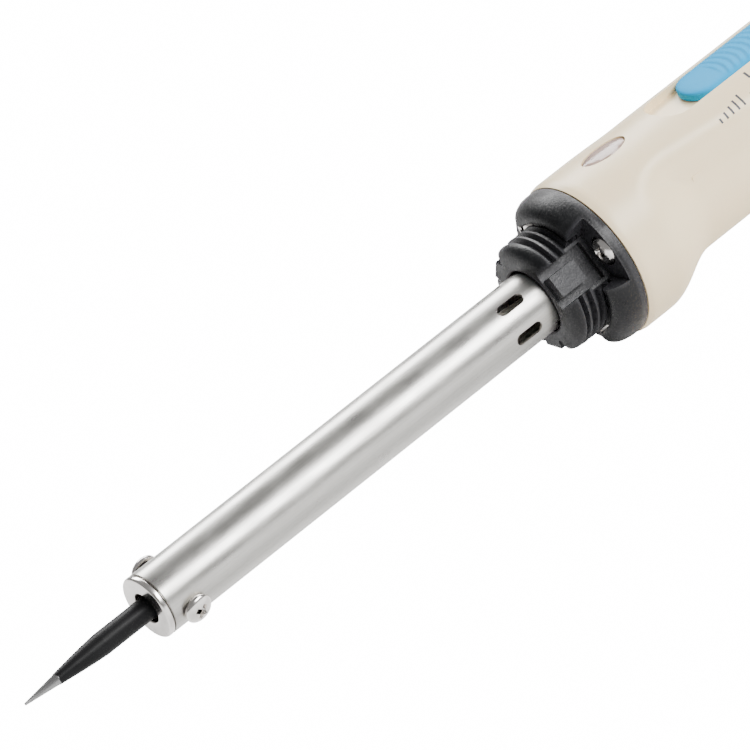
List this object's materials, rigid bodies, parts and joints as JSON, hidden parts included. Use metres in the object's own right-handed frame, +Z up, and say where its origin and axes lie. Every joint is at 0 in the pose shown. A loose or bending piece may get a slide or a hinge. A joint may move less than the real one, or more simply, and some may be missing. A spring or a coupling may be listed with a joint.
{
  "type": "soldering iron",
  "caption": "Mains soldering iron with a straight plated tip in a steel barrel, a threaded nose collar and a scooped handle with a temperature slider on top.",
  "frame": {"origin": "bottom centre of the whole iron's box, on the surface it lies on", "axes": "+X from the tip to the handle along the barrel's axis, +Z up through the temperature slider"},
  "size_m": [0.2524, 0.0314, 0.0309],
  "materials": {
    "satin_steel": "satin",
    "bright_nickel": "polished",
    "black_tip_plating": "satin",
    "black_plastic": "satin",
    "cream_plastic": "satin",
    "blue_plastic": "satin",
    "clear_lens": "gloss",
    "heater_ceramic": "matte",
    "mica_paper": "satin",
    "heater_wire": "satin",
    "silicone_sleeving": "matte",
    "fibre_plate": "matte",
    "circuit_board": "satin",
    "component_body": "matte",
    "tinned_metal": "satin",
    "lamp_glass": "gloss",
    "black_rubber": "matte"
  },
  "bodies": {
    "iron": {"soldering_tip": "black_tip_plating", "barrel_end_cap": "bright_nickel", "tip_screw_1": "bright_nickel", "tip_screw_2": "bright_nickel", "barrel_tube": "satin_steel", "heater_core": "heater_ceramic", "heater_winding": "heater_wire", "mica_sleeve": "mica_paper", "heater_spacer": "heater_ceramic", "heater_lead_live": "silicone_sleeving", "heater_lead_neutral": "silicone_sleeving", "nose_collar": "black_plastic", "nose_screw_1": "bright_nickel", "nose_screw_2": "bright_nickel", "nose_screw_3": "bright_nickel", "mounting_plate": "fibre_plate", "handle_shell": "cream_plastic", "indicator_lens": "clear_lens", "indicator_lamp": "lamp_glass", "slide_pot_body": "tinned_metal", "control_board": "circuit_board", "triac": "component_body", "film_capacitor": "component_body", "snubber_capacitor": "component_body", "resistor_1": "heater_ceramic", "resistor_2": "heater_ceramic", "diac": "lamp_glass", "terminal_block": "black_plastic", "terminal_screw_1": "tinned_metal", "terminal_screw_2": "tinned_metal", "cord_clamp_bar": "black_plastic", "clamp_screw_1": "tinned_metal", "clamp_screw_2": "tinned_metal", "cord_bush": "black_rubber"},
    "slider": {"slider_knob": "blue_plastic", "wiper_lever": "tinned_metal"}
  },
  "joints": [
    {"name": "temperature_slide", "type": "slide", "parent": "iron", "child": "slider", "axis": [-1, 0, 0], "range_m": [-0.01, 0.005]}
  ]
}
